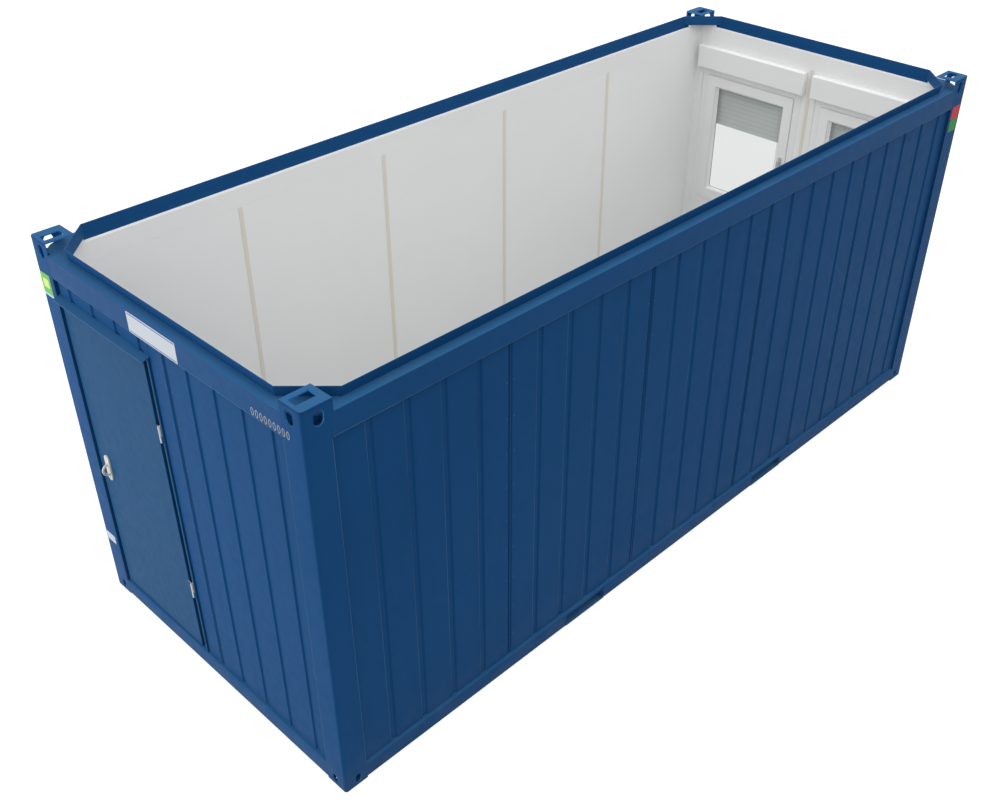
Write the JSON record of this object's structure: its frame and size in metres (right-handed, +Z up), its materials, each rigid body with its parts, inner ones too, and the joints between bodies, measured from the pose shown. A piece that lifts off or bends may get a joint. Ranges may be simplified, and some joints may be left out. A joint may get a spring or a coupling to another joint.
{
  "type": "shipping container cabin with its roof off",
  "caption": "Site cabin on a steel container frame with corner fittings, grooved blue walls, white lining, a hinged steel door, shuttered windows and an open top.",
  "frame": {"origin": "on the ground, below the middle of the four corner fittings", "axes": "+X across the cabin, +Y along it from the door end to the window end, +Z up"},
  "size_m": [2.435, 6.092, 2.591],
  "materials": {
    "frame_paint": "semi-gloss blue paint on rolled steel sections",
    "panel_paint": "blue coil-coated steel sheet, grooved",
    "ledge_paint": "semi-gloss blue paint on folded steel plate",
    "door_paint": "smooth blue coil-coated steel",
    "lining": "white laminate-faced board",
    "strip": "warm white plastic cover strip",
    "window_plastic": "white moulded window plastic",
    "glazing": "clear insulating glass",
    "shutter": "light grey plastic slats",
    "hardware": "satin light metal",
    "floor_vinyl": "grey speckled vinyl sheet",
    "underframe": "primer-coated steel",
    "underside_sheet": "galvanised steel sheet"
  },
  "bodies": {
    "cabin": {"corner_posts": "frame_paint", "top_fitting_front_left": "frame_paint", "top_fitting_front_right": "frame_paint", "top_fitting_back_left": "frame_paint", "top_fitting_back_right": "frame_paint", "bottom_fitting_front_left": "frame_paint", "bottom_fitting_front_right": "frame_paint", "bottom_fitting_back_left": "frame_paint", "bottom_fitting_back_right": "frame_paint", "roof_rail_front": "frame_paint", "roof_rail_right": "frame_paint", "roof_rail_back": "frame_paint", "roof_rail_left": "frame_paint", "base_rail_front": "frame_paint", "base_rail_right": "frame_paint", "base_rail_back": "frame_paint", "base_rail_left": "frame_paint", "roof_corner_plates": "ledge_paint", "door_canopy": "ledge_paint", "fork_sleeves": "ledge_paint", "floor_joists": "underframe", "floor_underside": "underside_sheet", "floor_deck": "floor_vinyl", "front_wall_panels": "panel_paint", "door_header_panel": "panel_paint", "right_wall_panels": "panel_paint", "back_wall_panels": "panel_paint", "left_wall_panels": "panel_paint", "front_lining": "lining", "right_lining": "lining", "back_lining": "lining", "left_lining": "lining", "upper_wall_bands": "lining", "inner_corner_trims": "lining", "seam_strips": "strip", "window_frames": "window_plastic", "window_sashes": "window_plastic", "shutter_boxes": "window_plastic", "window_glass": "glazing", "roller_shutters": "shutter", "window_handles": "hardware", "frame_hinges": "hardware", "door_frame": "door_paint"},
    "door": {"door_leaf": "door_paint", "leaf_hinges": "hardware", "door_handles": "hardware"}
  },
  "joints": [
    {"name": "door_hinge", "type": "hinge", "parent": "cabin", "child": "door", "pos_m": [-0.165, -3.0155, 1.2], "axis": [0, 0, 1], "range_deg": [0, 110]}
  ]
}
